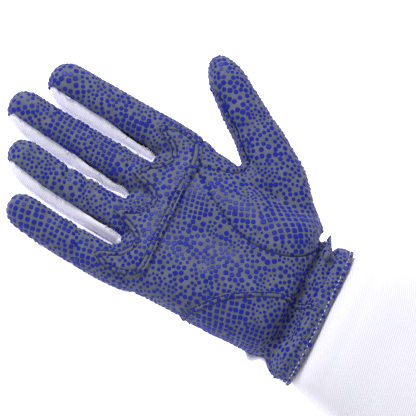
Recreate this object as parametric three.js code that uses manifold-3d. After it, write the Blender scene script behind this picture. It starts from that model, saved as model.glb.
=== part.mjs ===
// A right-hand fencing glove that lies on its back, palm up, with its fingers straight and its thumb spread.
// Millimetres. +Z is up, +Y points to the fingertips and +X to the thumb side.
// While the pieces are made, x = y = 0 is the middle of the wrist hem and z = 0 is the surface below.
// At the end the glove is centred on its own outline.
import * as THREE from 'three';
import { mergeVertices } from 'three/addons/utils/BufferGeometryUtils.js';
import Module from 'manifold-3d';

const wasm = await Module();
wasm.setup();

// Driving dimensions
const HAND_WIDTH = 100; // outside the glove, across the knuckles
const PALM_LENGTH = 129; // from the wrist hem to the web beside the index finger
const HAND_THICKNESS = 38; // at the middle of the palm, padding included
const FINGER_WIDTH = 22.6;
const FINGER_THICKNESS = 22;
const FINGER_LENGTH = 119; // the middle finger, from its root inside the palm to its tip
const THUMB_LENGTH = 118; // from its root at the wrist to its tip
const THUMB_WIDTH = 25;
const THUMB_THICKNESS = 24;
const CUFF_LENGTH = 152; // outside the hem
const CUFF_WIDTH = 132; // at the open end, flattened by its own weight
const CUFF_HEIGHT = 68;
const CUFF_OVERLAP = 7; // how far the cuff reaches up inside the wrist hem
const WALL = 2; // leather or padded cloth
const CUFF_WALL = 1.8;
const PATCH_THICKNESS = 1.3; // the reinforcements sewn over the palm
const SEAM_GAP = 0.3; // clearance between pieces that are sewn together
const REST_DEPTH = 1.2; // how far the round underside is flattened where it lies

const BODY_SIDES = 28;
const FINGER_SIDES = 14;
const THUMB_SIDES = 16;
const ROUND_POWER = 2.3; // of the sections: 2 is an ellipse, and more is squarer
const FAR = 400; // longer than any piece, for cutting shapes
const FINENESS = 0.01; // slivers and steps smaller than this are smoothed away

// Sections of the hand from the hem to the finger roots: along is a share of PALM_LENGTH, ulnar and radial are
// shares of HAND_WIDTH, top is a share of HAND_THICKNESS, and slant is how far a section leans with x.
const HAND_SECTIONS = [
  { along: 0.0, ulnar: -0.445, radial: 0.445, top: 1.04, slant: 0.06 },
  { along: 0.05, ulnar: -0.43, radial: 0.435, top: 1.03, slant: 0.06 },
  { along: 0.105, ulnar: -0.39, radial: 0.415, top: 0.85, slant: 0.06 },
  { along: 0.155, ulnar: -0.375, radial: 0.41, top: 0.97, slant: 0.05 },
  { along: 0.25, ulnar: -0.39, radial: 0.425, top: 1.02, slant: 0.04 },
  { along: 0.4, ulnar: -0.405, radial: 0.46, top: 1.0, slant: 0.03 },
  { along: 0.55, ulnar: -0.415, radial: 0.52, top: 0.95, slant: 0.03 },
  { along: 0.7, ulnar: -0.425, radial: 0.565, top: 0.88, slant: 0.03 },
  { along: 0.82, ulnar: -0.445, radial: 0.58, top: 0.79, slant: 0.03 },
  { along: 0.88, ulnar: -0.45, radial: 0.575, top: 0.71, slant: 0.03 },
  { along: 0.92, ulnar: -0.43, radial: 0.55, top: 0.56, slant: 0.03 },
];

// Mounds and hollows of the palm: across and width are shares of HAND_WIDTH, along and length of PALM_LENGTH,
// height of HAND_THICKNESS.
const MOUNDS = [
  { name: 'thenar', across: 0.28, along: 0.36, width: 0.2, length: 0.26, height: 0.16 },
  { name: 'hypothenar', across: -0.25, along: 0.38, width: 0.17, length: 0.3, height: 0.06 },
  { name: 'hollow', across: 0.02, along: 0.6, width: 0.16, length: 0.24, height: -0.13 },
];

// Fingers from the thumb side: across is a share of HAND_WIDTH, length of FINGER_LENGTH, width of FINGER_WIDTH,
// thickness of FINGER_THICKNESS. bow and turn are how far its middle and its tip swing to the thumb side, as
// shares of the width.
const FINGERS = [
  { name: 'index', across: 0.484, length: 0.915, width: 1.0, thickness: 1.0, bow: 0.03, turn: 0.02 },
  { name: 'middle', across: 0.188, length: 0.995, width: 1.0, thickness: 1.0, bow: 0.02, turn: 0.08 },
  { name: 'ring', across: -0.08, length: 0.88, width: 0.98, thickness: 0.98, bow: -0.05, turn: 0.12 },
  { name: 'little', across: -0.35, length: 0.735, width: 0.92, thickness: 0.94, bow: -0.09, turn: 0.06 },
];
const FINGER_ROOT = 0.77; // where the fingers start inside the palm, as a share of PALM_LENGTH

// The shape that every finger has: along is a share of its length, the others are shares of its own size.
const FINGER_SECTIONS = [
  { along: 0.0, width: 0.8, thickness: 1.12, lift: 0.0 },
  { along: 0.22, width: 1.01, thickness: 1.1, lift: 0.0 },
  { along: 0.4, width: 1.0, thickness: 1.03, lift: 0.0 },
  { along: 0.55, width: 1.0, thickness: 0.98, lift: 0.01 },
  { along: 0.7, width: 0.98, thickness: 0.93, lift: 0.03 },
  { along: 0.83, width: 0.95, thickness: 0.88, lift: 0.06 },
  { along: 0.92, width: 0.84, thickness: 0.78, lift: 0.1 },
  { along: 0.97, width: 0.6, thickness: 0.57, lift: 0.18 },
  { along: 1.0, width: 0.2, thickness: 0.22, lift: 0.34 },
];

// The webs between neighbours, from the thumb side: along is a share of PALM_LENGTH.
const WEBS = [
  { name: 'index_middle', along: 1.0 },
  { name: 'middle_ring', along: 1.012 },
  { name: 'ring_little', along: 0.945 },
];
const WEB_DEPTH = 10; // half the length of the rounded bridge behind each web

// The rounded web between the thumb and the hand: the place of its middle and its half sizes, as shares of
// HAND_WIDTH, PALM_LENGTH and HAND_THICKNESS.
const THUMB_WEB = { across: 0.53, along: 0.545, height: 0.52, width: 0.14, length: 0.105, thickness: 0.3 };

// The thumb's root, as shares of HAND_WIDTH, PALM_LENGTH and HAND_THICKNESS, and its directions.
const THUMB_ROOT = { across: 0.41, along: 0.217, height: 0.52 };
const THUMB_LEAN = THREE.MathUtils.degToRad(32.8);
const THUMB_RISE = THREE.MathUtils.degToRad(2.4);

// Its sections: along is a share of THUMB_LENGTH, the others of the thumb's own size. side is to the outer side.
const THUMB_SECTIONS = [
  { along: -0.04, width: 0.75, thickness: 0.9, side: -0.08 },
  { along: 0.12, width: 0.98, thickness: 1.12, side: -0.04 },
  { along: 0.28, width: 1.2, thickness: 1.2, side: -0.02 },
  { along: 0.44, width: 1.22, thickness: 1.14, side: -0.03 },
  { along: 0.6, width: 1.1, thickness: 1.04, side: -0.01 },
  { along: 0.74, width: 0.98, thickness: 0.98, side: -0.03 },
  { along: 0.86, width: 0.88, thickness: 0.9, side: -0.03 },
  { along: 0.94, width: 0.7, thickness: 0.72, side: -0.02 },
  { along: 0.98, width: 0.44, thickness: 0.46, side: 0.0 },
  { along: 1.0, width: 0.16, thickness: 0.18, side: 0.02 },
];

// The cuff from its open end to the hem: along is a share of CUFF_LENGTH, width and height of the open end's.
const CUFF_SECTIONS = [
  { along: 1.0, width: 1.0, height: 1.0 },
  { along: 0.8, width: 0.97, height: 0.96 },
  { along: 0.55, width: 0.91, height: 0.89 },
  { along: 0.28, width: 0.81, height: 0.78 },
  { along: 0.12, width: 0.73, height: 0.71 },
  { along: 0.04, width: 0.67, height: 0.66 },
];

// Height of the seam between palm and back: along is a share of PALM_LENGTH, height of HAND_THICKNESS.
const SIDE_SEAM = [
  { along: -0.3, height: 0.56 },
  { along: 0.0, height: 0.54 },
  { along: 0.08, height: 0.46 },
  { along: 0.17, height: 0.34 },
  { along: 0.35, height: 0.26 },
  { along: 0.7, height: 0.23 },
  { along: 1.0, height: 0.2 },
  { along: 2.2, height: 0.2 },
];

// The seam along the thumb tilts up towards the outer side, and never comes lower than THUMB_SEAM_FLOOR.
const THUMB_SEAM_TILT = THREE.MathUtils.degToRad(24);
const THUMB_SEAM_FLOOR = 0.2; // a share of HAND_THICKNESS

// The cloth between two fingers: its half height on a finger is FORK_RISE of FINGER_THICKNESS, and it runs out
// at FORK_END of the finger's length with FORK_TAPER of that height.
const FORK_LAP = 1; // mm that it reaches past the middle of the gap, so that its two halves join
const FORK_RISE = 0.28;
const FORK_END = 0.88;
const FORK_TAPER = 0.35;

// Seam lines and patch outlines, seen from above: across is a share of HAND_WIDTH, along of PALM_LENGTH.
const THENAR_SEAM = [
  { across: 0.355, along: 0.85 },
  { across: 0.335, along: 0.775 },
  { across: 0.24, along: 0.685 },
  { across: 0.14, along: 0.54 },
  { across: 0.105, along: 0.43 },
  { across: 0.11, along: 0.335 },
  { across: 0.15, along: 0.245 },
  { across: 0.23, along: 0.18 },
  { across: 0.36, along: 0.142 },
];
const GUSSET_SEAM = [
  { across: 0.385, along: 0.85 },
  { across: 0.39, along: 0.78 },
  { across: 0.43, along: 0.66 },
  { across: 0.5, along: 0.6 },
  { across: 0.6, along: 0.595 },
  { across: 0.68, along: 0.66 },
  { across: 0.755, along: 0.765 },
  { across: 0.815, along: 0.85 },
  { across: 0.83, along: 0.9 },
];
const THUMB_BACK_SEAM = [
  { across: 0.31, along: 0.35 },
  { across: 0.36, along: 0.52 },
  { across: 0.5, along: 0.63 },
  { across: 0.56, along: 0.655 },
];
const THUMB_SPACE = [
  { across: 0.66, along: 0.85 },
  { across: 0.79, along: 0.96 },
]; // between the thumb and the index finger
const KNUCKLE_EDGE = { ulnar: 0.79, radial: 0.842, floor: 0.36 }; // straight edge and lowest height
const KNUCKLE_PEAKS = [1.055, 1.04, 1.025, 1.0]; // on each finger, shares of PALM_LENGTH
const KNUCKLE_VALLEYS = [0.945, 0.91, 0.885]; // below each web
const HEEL_SEAM = [
  { across: -0.5, along: 0.6 },
  { across: -0.4, along: 0.545 },
  { across: -0.32, along: 0.495 },
  { across: -0.225, along: 0.42 },
  { across: -0.145, along: 0.333 },
  { across: -0.085, along: 0.25 },
  { across: -0.035, along: 0.17 },
  { across: -0.005, along: 0.085 },
  { across: -0.005, along: 0.03 },
];

const { lerp } = THREE.MathUtils;

// Reads a column of a table between two rows.
function between(rows, along, column) {
  let i = 1;
  while (i < rows.length - 1 && rows[i].along < along) i++;
  const share = (along - rows[i - 1].along) / (rows[i].along - rows[i - 1].along);
  return lerp(rows[i - 1][column], rows[i][column], share);
}

function toSolid(geometry) {
  const bare = geometry.clone();
  bare.deleteAttribute('normal');
  bare.deleteAttribute('uv');
  const merged = mergeVertices(bare, 1e-4);
  return new wasm.Manifold(
    new wasm.Mesh({
      numProp: 3,
      vertProperties: merged.attributes.position.array,
      triVerts: new Uint32Array(merged.index.array),
    }),
  );
}

function toGeometry(solid) {
  const mesh = solid.asOriginal().simplify(FINENESS).getMesh();
  const loose = new THREE.BufferGeometry();
  loose.setAttribute('position', new THREE.BufferAttribute(mesh.vertProperties, 3));
  loose.setIndex(new THREE.BufferAttribute(mesh.triVerts, 1));
  const geometry = mergeVertices(loose, FINENESS / 10);
  const corners = geometry.index.array;
  const kept = [];
  for (let i = 0; i < corners.length; i += 3) {
    const [a, b, c] = corners.slice(i, i + 3);
    if (a !== b && b !== c && c !== a) kept.push(a, b, c);
  }
  geometry.setIndex(kept);
  return geometry;
}

const join = (solids) => solids.reduce((sum, solid) => sum.add(solid));
const cut = (solid, cutters) => cutters.reduce((rest, cutter) => rest.subtract(cutter), solid);

function box(low, high) {
  const geometry = new THREE.BoxGeometry(high[0] - low[0], high[1] - low[1], high[2] - low[2]);
  geometry.translate((low[0] + high[0]) / 2, (low[1] + high[1]) / 2, (low[2] + high[2]) / 2);
  return toSolid(geometry);
}

// Everything lower than a height.
const below = (height) => box([-FAR, -FAR, -FAR], [FAR, FAR, height]);

// A closed tube through rings, each with its middle and its reach to the left, right, up and down.
function tube(rings, sides, relief = () => 0) {
  const last = rings.length - 1;
  const geometry = new THREE.CylinderGeometry(1, 1, 1, sides, last);
  const spots = geometry.attributes.position;
  const swell = (value, power) => Math.sign(value) * Math.abs(value) ** (2 / power);
  for (let i = 0; i < spots.count; i++) {
    const ring = rings[Math.round((0.5 - spots.getY(i)) * last)];
    const across = swell(spots.getX(i), ring.power ?? ROUND_POWER) * ring.half;
    const up = swell(-spots.getZ(i), ring.power ?? ROUND_POWER);
    const lean = ring.lean ?? 0;
    const x = ring.x + across * Math.cos(lean);
    const y = ring.y - across * Math.sin(lean) + across * (ring.slant ?? 0);
    const raised = up > 0 ? up * (ring.up + relief(x, y)) : up * ring.down;
    spots.setXYZ(i, x, y, ring.z + raised);
  }
  return toSolid(geometry);
}

// How much the palm stands above its plain section.
function palmRelief(x, y) {
  let height = 0;
  for (const mound of MOUNDS) {
    const across = (x - mound.across * HAND_WIDTH) / (mound.width * HAND_WIDTH);
    const along = (y - mound.along * PALM_LENGTH) / (mound.length * PALM_LENGTH);
    height += mound.height * HAND_THICKNESS * Math.exp(-across * across - along * along);
  }
  return height;
}

// One section of the hand, drawn in by inset on every side.
function handRing(row, inset) {
  const top = row.top * HAND_THICKNESS;
  const middle = top * 0.45;
  return {
    x: ((row.ulnar + row.radial) / 2) * HAND_WIDTH,
    y: row.along * PALM_LENGTH,
    z: middle,
    half: ((row.radial - row.ulnar) / 2) * HAND_WIDTH - inset,
    up: top - middle - inset,
    down: middle + REST_DEPTH - inset,
    slant: row.slant,
    power: 2.5,
  };
}

const fingerX = (finger) => finger.across * HAND_WIDTH;
const webX = (i) => (fingerX(FINGERS[i]) + fingerX(FINGERS[i + 1])) / 2;

function fingerRings(finger, inset) {
  const length = finger.length * FINGER_LENGTH;
  const width = finger.width * FINGER_WIDTH;
  const thickness = finger.thickness * FINGER_THICKNESS;
  return FINGER_SECTIONS.map((row) => {
    const high = Math.max((row.thickness * thickness) / 2 - inset, 0.6);
    return {
      along: row.along,
      x: fingerX(finger) + width * (finger.bow * Math.sin(Math.PI * row.along) + finger.turn * row.along ** 2),
      y: FINGER_ROOT * PALM_LENGTH + row.along * (length - inset),
      z: (row.thickness / 2 + row.lift) * thickness - REST_DEPTH,
      half: Math.max((row.width * width) / 2 - inset, 0.6),
      up: high,
      down: high,
    };
  });
}

const thumbAxis = new THREE.Vector3(0, Math.cos(THUMB_RISE), Math.sin(THUMB_RISE)).applyAxisAngle(
  new THREE.Vector3(0, 0, 1),
  -THUMB_LEAN,
);
const thumbSide = new THREE.Vector3(1, 0, 0).applyAxisAngle(new THREE.Vector3(0, 0, 1), -THUMB_LEAN);
const thumbStart = new THREE.Vector3(
  THUMB_ROOT.across * HAND_WIDTH,
  THUMB_ROOT.along * PALM_LENGTH,
  THUMB_ROOT.height * HAND_THICKNESS,
);

function thumbRings(inset) {
  return THUMB_SECTIONS.map((row) => {
    const middle = thumbStart
      .clone()
      .addScaledVector(thumbAxis, row.along * (THUMB_LENGTH - inset))
      .addScaledVector(thumbSide, row.side * THUMB_WIDTH);
    const high = Math.max((row.thickness * THUMB_THICKNESS) / 2 - inset, 0.5);
    return {
      x: middle.x,
      y: middle.y,
      z: middle.z,
      half: Math.max((row.width * THUMB_WIDTH) / 2 - inset, 0.5),
      up: high,
      down: high,
      lean: THUMB_LEAN,
    };
  });
}

// A rounded bridge, given by its middle and its half sizes.
function bridge(middle, halves, inset) {
  const ball = new THREE.SphereGeometry(1, 10, 6);
  ball.rotateX(Math.PI / 2);
  ball.scale(...halves.map((half) => half - inset));
  ball.translate(...middle);
  return toSolid(ball);
}

// The bridge that closes the hand behind a web between two fingers.
function fingerWeb(i, inset) {
  const half = FINGER_THICKNESS / 2;
  const reach = (fingerX(FINGERS[i]) - fingerX(FINGERS[i + 1])) / 2;
  const middle = [webX(i), WEBS[i].along * PALM_LENGTH - WEB_DEPTH, half - REST_DEPTH];
  return bridge(middle, [reach, WEB_DEPTH, half], inset);
}

function thumbWeb(inset) {
  const { across, along, height, width, length, thickness } = THUMB_WEB;
  const middle = [across * HAND_WIDTH, along * PALM_LENGTH, height * HAND_THICKNESS];
  const halves = [width * HAND_WIDTH, length * PALM_LENGTH, thickness * HAND_THICKNESS];
  return bridge(middle, halves, inset);
}

// The whole hand as one solid, drawn in by inset or, where inset is below zero, grown. hemReach carries it past
// the hem, and underneath it is cut flat.
function handForm(inset, hemReach = 0) {
  const rings = HAND_SECTIONS.map((row) => handRing(row, inset));
  if (hemReach > 0) rings.unshift({ ...rings[0], y: rings[0].y - hemReach });
  return join([
    tube(rings, BODY_SIDES, palmRelief),
    ...FINGERS.map((finger) => tube(fingerRings(finger, inset), FINGER_SIDES)),
    ...WEBS.map((web, i) => fingerWeb(i, inset)),
    thumbWeb(inset),
    tube(thumbRings(inset), THUMB_SIDES),
  ]).subtract(below(Math.max(inset, 0)));
}

const place = (row) => new THREE.Vector2(row.across * HAND_WIDTH, row.along * PALM_LENGTH);

// Moves each side of a closed outline, which runs anticlockwise, outwards by grow.
function growOutline(points, grow) {
  return points.map((point, i) => {
    const before = point.clone().sub(points.at(i - 1)).normalize();
    const after = points[(i + 1) % points.length].clone().sub(point).normalize();
    const out = new THREE.Vector2(before.y + after.y, -before.x - after.x).normalize();
    const reach = grow / Math.max(out.x * before.y - out.y * before.x, 0.5);
    return point.clone().addScaledVector(out, reach);
  });
}

// An upright block over an outline seen from above.
function upright(outline, grow = 0) {
  const points = THREE.ShapeUtils.isClockWise(outline) ? outline.slice().reverse() : outline;
  const shape = new THREE.Shape(growOutline(points, grow));
  const geometry = new THREE.ExtrudeGeometry(shape, { depth: 2 * FAR, bevelEnabled: false });
  geometry.translate(0, 0, -FAR);
  return toSolid(geometry);
}

// A block between two values of x over an outline seen from the side, as y and z.
function sideways(outline, low, high) {
  const geometry = new THREE.ExtrudeGeometry(new THREE.Shape(outline), {
    depth: high - low,
    bevelEnabled: false,
  });
  const x = new THREE.Vector3(1, 0, 0);
  const y = new THREE.Vector3(0, 1, 0);
  const z = new THREE.Vector3(0, 0, 1);
  geometry.applyMatrix4(new THREE.Matrix4().makeBasis(y, z, x));
  geometry.translate(low, 0, 0);
  return toSolid(geometry);
}

// Everything above the seam between palm and back, from grow below it.
function aboveSideSeam(grow) {
  const outline = SIDE_SEAM.map(
    (row) => new THREE.Vector2(row.along * PALM_LENGTH, row.height * HAND_THICKNESS - grow),
  );
  outline.push(new THREE.Vector2(outline.at(-1).x, FAR), new THREE.Vector2(outline[0].x, FAR));
  return sideways(outline, -FAR, FAR);
}

// Everything above the seam along the thumb, from grow below it.
function aboveThumbSeam(grow) {
  const geometry = new THREE.BoxGeometry(2 * FAR, 2 * FAR, FAR);
  geometry.translate(0, 0, FAR / 2 - grow);
  geometry.rotateY(-THUMB_SEAM_TILT);
  geometry.rotateX(THUMB_RISE);
  geometry.rotateZ(-THUMB_LEAN);
  geometry.translate(thumbStart.x, thumbStart.y, thumbStart.z);
  return toSolid(geometry).subtract(below(THUMB_SEAM_FLOOR * HAND_THICKNESS - grow));
}

// The space of the cloth between two fingers, a block on each of them that meet in the middle of the gap.
function forkSpace(i, grow) {
  const start = WEBS[i].along * PALM_LENGTH - 0.9 * WEB_DEPTH;
  const blocks = [FINGERS[i], FINGERS[i + 1]].map((finger) => {
    const length = finger.length * FINGER_LENGTH;
    const root = FINGER_ROOT * PALM_LENGTH;
    const rings = fingerRings(finger, 0);
    const rise = FORK_RISE * FINGER_THICKNESS;
    const edge = (side) =>
      [0, 0.35, 0.7, 1].map((share) => {
        const y = lerp(start - grow, root + FORK_END * length + grow, share);
        const high = rise * lerp(1, FORK_TAPER, share ** 3) + grow;
        return new THREE.Vector2(y, between(rings, (y - root) / length, 'z') + side * high);
      });
    const outline = [...edge(-1), ...edge(1).reverse()];
    const inward = Math.sign(webX(i) - fingerX(finger));
    const ends = [fingerX(finger), webX(i) + inward * FORK_LAP];
    return sideways(outline, Math.min(...ends), Math.max(...ends));
  });
  return join(blocks);
}

// Outlines of the thumb's pieces. far is where they leave the glove on the thumb side.
const far = {
  low: new THREE.Vector2(FAR / 2, place(THENAR_SEAM.at(-1)).y),
  high: new THREE.Vector2(FAR / 2, FAR),
};
const thumbSpace = THUMB_SPACE.map(place);
const awayFromThumb = new THREE.Vector2(thumbSpace[1].x, FAR);
const thumbOutline = [
  ...THENAR_SEAM.map(place),
  far.low,
  far.high,
  awayFromThumb,
  thumbSpace[1],
  ...GUSSET_SEAM.map(place).reverse(),
];
const gussetOutline = [
  ...GUSSET_SEAM.map(place),
  ...thumbSpace.slice().reverse(),
  new THREE.Vector2(thumbSpace[0].x, place(GUSSET_SEAM[0]).y),
];
const thumbBackOutline = [
  place(THENAR_SEAM.at(-1)),
  far.low,
  far.high,
  awayFromThumb,
  ...thumbSpace.slice().reverse(),
  ...THUMB_BACK_SEAM.map(place).reverse(),
];

// The palm's scalloped reinforcement: a point on each finger, a round valley below each web.
function knuckleOutline() {
  const turns = [];
  const ulnarEnd = fingerX(FINGERS.at(-1)) - FINGER_WIDTH;
  const radialEnd = fingerX(FINGERS[0]) + FINGER_WIDTH;
  const point = (x, share) => new THREE.Vector2(x, share * PALM_LENGTH);
  const scallop = (peak, valley) => {
    for (const share of [0, 0.35, 0.65, 0.88]) {
      const x = lerp(peak.x, valley.x, share);
      turns.push(new THREE.Vector2(x, lerp(valley.y, peak.y, (1 - share) ** 1.7)));
    }
  };
  const peaks = FINGERS.map((finger, i) => point(fingerX(finger), KNUCKLE_PEAKS[i]));
  const valleys = WEBS.map((web, i) => point(webX(i), KNUCKLE_VALLEYS[i]));
  turns.push(point(radialEnd, KNUCKLE_EDGE.radial), point(radialEnd, KNUCKLE_PEAKS[0] - 0.03));
  valleys.forEach((valley, i) => {
    scallop(peaks[i], valley);
    const back = turns.length;
    scallop(peaks[i + 1], valley);
    turns.splice(back, Infinity, ...turns.slice(back + 1).reverse());
  });
  turns.push(peaks.at(-1), point(ulnarEnd, KNUCKLE_VALLEYS[2]), point(ulnarEnd, KNUCKLE_EDGE.ulnar));
  return turns;
}

const heelOutline = [
  ...HEEL_SEAM.map(place),
  new THREE.Vector2(-HAND_WIDTH, place(HEEL_SEAM.at(-1)).y),
  new THREE.Vector2(-HAND_WIDTH, place(HEEL_SEAM[0]).y),
];

// The cuff's outer form, drawn in by inset. Its upper end lies inside the hem, clear of the hand's wall.
function cuffForm(inset, endReach = 0) {
  const drawn = inset + WALL + SEAM_GAP;
  const outside = CUFF_SECTIONS.map((row) => {
    const height = row.height * CUFF_HEIGHT;
    return {
      x: 0,
      y: -row.along * CUFF_LENGTH,
      z: height / 2 - REST_DEPTH / 2,
      half: (row.width * CUFF_WIDTH) / 2 - inset,
      up: (height + REST_DEPTH) / 2 - inset,
      down: (height + REST_DEPTH) / 2 - inset,
      slant: HAND_SECTIONS[0].slant,
    };
  });
  const inside = [0, CUFF_OVERLAP, CUFF_OVERLAP + endReach].map((reach) => {
    const along = reach / PALM_LENGTH;
    const row = { along };
    for (const column of ['ulnar', 'radial', 'top', 'slant']) {
      row[column] = between(HAND_SECTIONS, along, column);
    }
    const ring = handRing(row, drawn);
    return { ...ring, down: ring.z - drawn };
  });
  const rings = [...outside, ...inside.slice(0, endReach > 0 ? 3 : 2)];
  if (endReach > 0) rings.unshift({ ...rings[0], y: rings[0].y - endReach });
  return tube(rings, BODY_SIDES).subtract(below(Math.max(inset, 0)));
}

const shell = handForm(0).subtract(handForm(WALL, 1));
const patchShell = handForm(-SEAM_GAP - PATCH_THICKNESS).subtract(handForm(-SEAM_GAP, 1));

const forks = WEBS.map((web, i) => forkSpace(i, SEAM_GAP));
const thumbFrontSpace = (grow) => upright(thumbOutline, grow).intersect(aboveThumbSeam(grow));
const gussetSpace = (grow) => upright(gussetOutline, grow).intersect(aboveThumbSeam(grow));
const palmSpace = (grow) =>
  cut(aboveSideSeam(grow), [
    upright(thumbOutline, SEAM_GAP - grow),
    upright(gussetOutline, SEAM_GAP - grow),
  ]);
const knuckleFloor = below(KNUCKLE_EDGE.floor * HAND_THICKNESS);

const LEATHER = { color: 0x4c537e, roughness: 0.85, metalness: 0 };
const KNIT = { color: 0xe4e3ee, roughness: 0.9, metalness: 0 };
const TWILL = { color: 0xf2f1fb, roughness: 0.9, metalness: 0 };

const glove = new THREE.Group();

function addPiece(name, solid, finish) {
  const piece = new THREE.Mesh(toGeometry(solid), new THREE.MeshStandardMaterial(finish));
  piece.name = name;
  glove.add(piece);
}

addPiece('palm', cut(shell.intersect(palmSpace(0)), forks), LEATHER);
addPiece(
  'back',
  cut(shell, [
    ...forks,
    palmSpace(SEAM_GAP),
    thumbFrontSpace(SEAM_GAP),
    gussetSpace(SEAM_GAP),
    upright(thumbBackOutline, SEAM_GAP),
  ]),
  KNIT,
);
WEBS.forEach((web, i) => addPiece(`fourchette_${web.name}`, shell.intersect(forkSpace(i, 0)), KNIT));
addPiece('thumb_front', shell.intersect(thumbFrontSpace(0)), LEATHER);
addPiece('thumb_gusset', cut(shell.intersect(gussetSpace(0)), [upright(thumbOutline, SEAM_GAP)]), LEATHER);
addPiece(
  'thumb_back',
  cut(shell.intersect(upright(thumbBackOutline)), [thumbFrontSpace(SEAM_GAP), gussetSpace(SEAM_GAP)]),
  KNIT,
);
addPiece('knuckle_patch', patchShell.intersect(upright(knuckleOutline())).subtract(knuckleFloor), LEATHER);
addPiece('heel_patch', patchShell.intersect(upright(heelOutline)).intersect(aboveSideSeam(-SEAM_GAP)), LEATHER);
addPiece('cuff', cuffForm(0).subtract(cuffForm(CUFF_WALL, 2)), TWILL);

const outline = new THREE.Box3().setFromObject(glove);
const middle = outline.getCenter(new THREE.Vector3());
glove.position.set(-middle.x, -middle.y, -outline.min.z);

export default glove;
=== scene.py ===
import math

import bmesh
import bpy
import numpy as np
from mathutils import Matrix, Vector, noise
from mathutils.bvhtree import BVHTree
from mathutils.kdtree import KDTree


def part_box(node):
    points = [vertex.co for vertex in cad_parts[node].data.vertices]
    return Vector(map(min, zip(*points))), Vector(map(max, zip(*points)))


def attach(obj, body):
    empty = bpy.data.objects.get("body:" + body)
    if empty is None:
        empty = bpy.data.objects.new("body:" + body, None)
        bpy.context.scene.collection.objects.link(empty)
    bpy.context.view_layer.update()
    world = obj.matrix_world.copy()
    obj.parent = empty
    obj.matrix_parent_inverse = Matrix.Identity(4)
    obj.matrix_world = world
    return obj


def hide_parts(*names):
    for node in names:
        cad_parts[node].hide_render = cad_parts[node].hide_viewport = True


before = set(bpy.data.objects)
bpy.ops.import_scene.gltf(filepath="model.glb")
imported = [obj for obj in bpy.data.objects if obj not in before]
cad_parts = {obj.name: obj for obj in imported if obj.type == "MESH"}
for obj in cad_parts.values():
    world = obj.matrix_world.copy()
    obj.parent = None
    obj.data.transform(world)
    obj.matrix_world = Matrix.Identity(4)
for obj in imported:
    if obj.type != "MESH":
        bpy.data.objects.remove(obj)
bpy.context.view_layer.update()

# The glove's form. A right-hand fencing glove, empty and padded, lies on its back with its fingers straight and its
# thumb spread. Its outside is one skin, modelled first and then cut along the seams into the panels that the real
# one is sewn from. x = y = 0 is the middle of the wrist hem, as in the solids. MM turns millimetres to metres.

MM = 0.001
HAND_WIDTH = 100 * MM
PALM_LENGTH = 129 * MM
HAND_THICKNESS = 38 * MM
FINGER_WIDTH = 22.6 * MM
FINGER_THICKNESS = 22 * MM
FINGER_LENGTH = 119 * MM
THUMB_LENGTH = 120.6 * MM
THUMB_WIDTH = 25 * MM
THUMB_THICKNESS = 24 * MM
REST_DEPTH = 1.2 * MM
HEM_SLANT = 0.06
SKIN_GRAIN = 0.95 * MM
HAND_SQUARENESS = 2.5
FINGER_SQUARENESS = 2.3
FINGER_TIP = 0.58 * FINGER_WIDTH
FINGER_TIP_ROUNDNESS = 2.2
THUMB_TIP = 0.8 * THUMB_WIDTH
# The share of a tube's length over which its end closes.
END_SHUT = 0.02

cuff_low, cuff_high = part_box("cuff")
palm_low, palm_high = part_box("palm")
HEM = np.array([
    (cuff_low[0] + cuff_high[0]) / 2,
    palm_low[1] + HEM_SLANT * 0.445 * HAND_WIDTH,
    0.0,
])

HAND_SECTIONS = [
    # along the palm, edges on the little finger's and the thumb's side, top: all as shares of the hand's sizes
    (-0.08, -0.45, 0.45, 1.03),
    (0.0, -0.441, 0.445, 1.03),
    (0.05, -0.43, 0.435, 1.0),
    (0.1, -0.405, 0.43, 0.84),
    (0.145, -0.37, 0.43, 0.91),
    (0.17, -0.371, 0.472, 0.95),
    (0.205, -0.378, 0.522, 1.0),
    (0.24, -0.382, 0.542, 1.02),
    (0.29, -0.385, 0.528, 1.02),
    (0.4, -0.397, 0.49, 1.0),
    (0.55, -0.407, 0.52, 0.95),
    (0.7, -0.417, 0.56, 0.88),
    (0.82, -0.43, 0.575, 0.79),
    (0.88, -0.43, 0.57, 0.71),
    (0.93, -0.4, 0.54, 0.56),
]
MOUNDS = [
    # across, along, width, length, height
    (0.28, 0.36, 0.2, 0.26, 0.16),
    (-0.25, 0.38, 0.17, 0.3, 0.06),
    (0.02, 0.6, 0.16, 0.24, -0.13),
]
FINGER_ROOT = 0.77
FINGERS = {
    # across, length, width, thickness, bow, turn
    "index": (0.49, 0.907, 1.07, 1.0, 0.03, -0.02),
    "middle": (0.188, 1.004, 1.0, 1.0, 0.02, 0.08),
    "ring": (-0.08, 0.877, 0.98, 0.98, -0.04, 0.15),
    "little": (-0.346, 0.74, 0.92, 0.94, -0.07, 0.07),
}
FINGER_SECTIONS = [
    # along, width, thickness, lift
    (0.0, 0.8, 1.12, 0.0),
    (0.1, 0.95, 1.12, 0.0),
    (0.22, 1.01, 1.1, 0.0),
    (0.4, 1.0, 1.03, 0.0),
    (0.55, 1.0, 0.98, 0.01),
    (0.7, 0.99, 0.94, 0.03),
    (0.85, 0.99, 0.92, 0.05),
    (1.0, 0.96, 0.86, 0.08),
]
WEBS = {
    # along the palm
    "index_middle": 1.008,
    "middle_ring": 1.02,
    "ring_little": 0.958,
}
WEB_DEPTH = 10 * MM
THUMB_ROOT = (0.41 * HAND_WIDTH, 0.217 * PALM_LENGTH, 0.52 * HAND_THICKNESS)
THUMB_LEAN = math.radians(32.8)
THUMB_RISE = math.radians(2.4)
THUMB_SECTIONS = [
    # along, width, thickness, side
    (-0.04, 0.75, 0.9, -0.08),
    (0.12, 0.9, 1.12, -0.06),
    (0.28, 1.2, 1.2, -0.02),
    (0.44, 1.2, 1.14, -0.03),
    (0.6, 1.07, 1.04, -0.02),
    (0.74, 0.97, 0.98, -0.04),
    (0.86, 0.88, 0.94, -0.04),
    (1.0, 0.8, 0.9, -0.03),
]
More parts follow.
